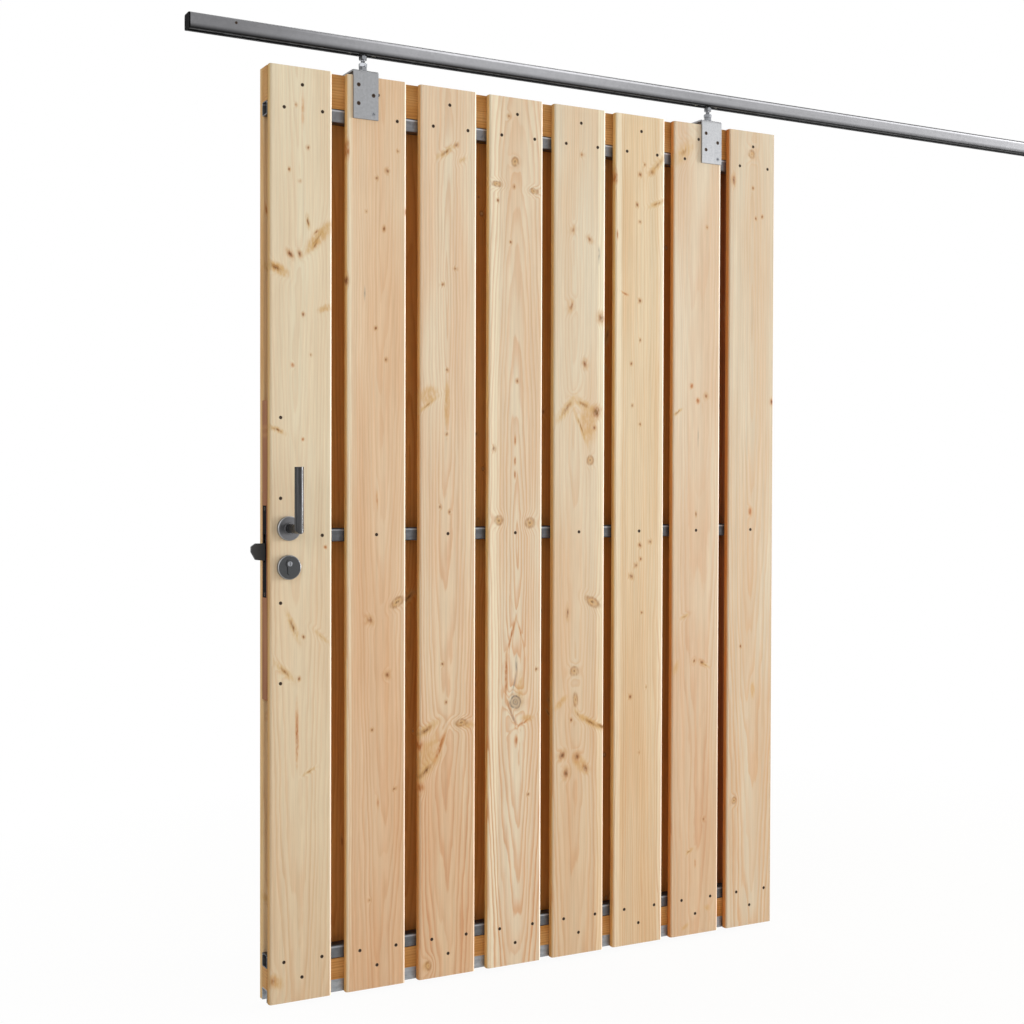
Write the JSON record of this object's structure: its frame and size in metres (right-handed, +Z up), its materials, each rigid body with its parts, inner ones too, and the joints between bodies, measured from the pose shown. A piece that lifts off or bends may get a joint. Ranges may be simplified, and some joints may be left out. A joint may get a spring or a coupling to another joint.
{
  "type": "sliding barn door on track",
  "caption": "Double-sided wooden board leaf with a hook lock, hung by bolted trolleys from a slotted galvanised steel rail that it slides along.",
  "frame": {"origin": "middle of the rail's top face, where it is fixed under a lintel", "axes": "+X along the rail to the right as seen from the front, -Y towards the front, +Z up"},
  "size_m": [3.005, 0.216, 2.134],
  "materials": {
    "galvanised_rail": "hot-dip galvanised, dull spangle",
    "cap_plastic": "black moulded cap",
    "stop_steel": "zinc plated",
    "buffer_rubber": "black rubber",
    "dark_screw": "dark coated screw",
    "front_wood": "planed softwood, clear oil",
    "rear_wood": "planed softwood, brown stain",
    "core_wood": "sawn softwood",
    "galvanised_tube": "galvanised square tube",
    "hanger_steel": "matt galvanised plate",
    "bright_fastener": "zinc plated",
    "trolley_steel": "zinc plated casting",
    "wheel_nylon": "dark nylon",
    "lock_steel": "passivated sheet",
    "black_lock": "black coated steel",
    "lock_brass": "machined brass",
    "satin_steel": "dark satin steel"
  },
  "bodies": {
    "track": {"rail": "galvanised_rail", "end_caps": "cap_plastic", "stop_blocks": "stop_steel", "stop_buffers": "buffer_rubber", "stop_screws": "dark_screw"},
    "left_outer_wheels": {"wheels_left_outer": "wheel_nylon"},
    "left_inner_wheels": {"wheels_left_inner": "wheel_nylon"},
    "right_inner_wheels": {"wheels_right_inner": "wheel_nylon"},
    "right_outer_wheels": {"wheels_right_outer": "wheel_nylon"},
    "lever": {"follower": "lock_brass", "spindle": "lock_steel", "front_lever": "satin_steel", "rear_lever": "satin_steel"},
    "claw": {"hook": "black_lock"},
    "key_core": {"key_plug": "lock_brass", "lock_cam": "lock_steel"},
    "leaf": {"front_screws": "dark_screw", "rear_screws": "dark_screw", "hanger_screws": "dark_screw", "front_board_1": "front_wood", "front_board_2": "front_wood", "front_board_3": "front_wood", "front_board_4": "front_wood", "front_board_5": "front_wood", "front_board_6": "front_wood", "front_board_7": "front_wood", "front_board_8": "front_wood", "rear_board_1": "rear_wood", "rear_board_2": "rear_wood", "rear_board_3": "rear_wood", "rear_board_4": "rear_wood", "rear_board_5": "rear_wood", "rear_board_6": "rear_wood", "rear_board_7": "rear_wood", "rear_board_8": "rear_wood", "rear_board_9": "rear_wood", "top_lath": "core_wood", "bottom_lath": "core_wood", "lock_block": "core_wood", "top_tube": "galvanised_tube", "middle_tube": "galvanised_tube", "bottom_tube": "galvanised_tube", "guide_channel": "galvanised_tube", "hanger_left_bracket": "hanger_steel", "hanger_right_bracket": "hanger_steel", "hanger_bolts": "bright_fastener", "hanger_nuts": "bright_fastener", "hanger_washers": "bright_fastener", "axles": "bright_fastener", "forend_screws": "bright_fastener", "hook_pin": "bright_fastener", "carriage_left": "trolley_steel", "carriage_right": "trolley_steel", "lock_case": "lock_steel", "lock_cover": "lock_steel", "forend": "black_lock", "roses": "satin_steel", "escutcheons": "satin_steel", "key_cylinder": "satin_steel"}
  },
  "joints": [
    {"name": "leaf_slide", "type": "slide", "parent": "track", "child": "leaf", "axis": [1, 0, 0], "range_m": [-0.226, 1.476]},
    {"name": "left_outer_wheel_spin", "type": "hinge", "parent": "leaf", "child": "left_outer_wheels", "pos_m": [-1.12966, 0, -0.0187], "axis": [0, 1, 0], "continuous": true},
    {"name": "left_inner_wheel_spin", "type": "hinge", "parent": "leaf", "child": "left_inner_wheels", "pos_m": [-1.06966, 0, -0.0187], "axis": [0, 1, 0], "continuous": true},
    {"name": "right_inner_wheel_spin", "type": "hinge", "parent": "leaf", "child": "right_inner_wheels", "pos_m": [-0.18066, 0, -0.0187], "axis": [0, 1, 0], "continuous": true},
    {"name": "right_outer_wheel_spin", "type": "hinge", "parent": "leaf", "child": "right_outer_wheels", "pos_m": [-0.12066, 0, -0.0187], "axis": [0, 1, 0], "continuous": true},
    {"name": "lever_turn", "type": "hinge", "parent": "leaf", "child": "lever", "pos_m": [-1.281, 0.018, -1.092], "axis": [0, 1, 0], "range_deg": [0, 50], "stiffness_Nm_per_rad": 1.2, "springref_deg": -20.05},
    {"name": "hook_swing", "type": "hinge", "parent": "leaf", "child": "claw", "pos_m": [-1.311, 0.018, -1.159], "axis": [0, 1, 0], "range_deg": [0, 75]},
    {"name": "key_turn", "type": "hinge", "parent": "leaf", "child": "key_core", "pos_m": [-1.281, 0.018, -1.169], "axis": [0, 1, 0], "continuous": true}
  ],
  "couplings": [
    {"joint": "left_outer_wheel_spin", "follows": "leaf_slide", "rad_per_m": 80},
    {"joint": "left_inner_wheel_spin", "follows": "leaf_slide", "rad_per_m": 80},
    {"joint": "right_inner_wheel_spin", "follows": "leaf_slide", "rad_per_m": 80},
    {"joint": "right_outer_wheel_spin", "follows": "leaf_slide", "rad_per_m": 80},
    {"joint": "hook_swing", "follows": "lever_turn", "ratio": 1.5}
  ]
}
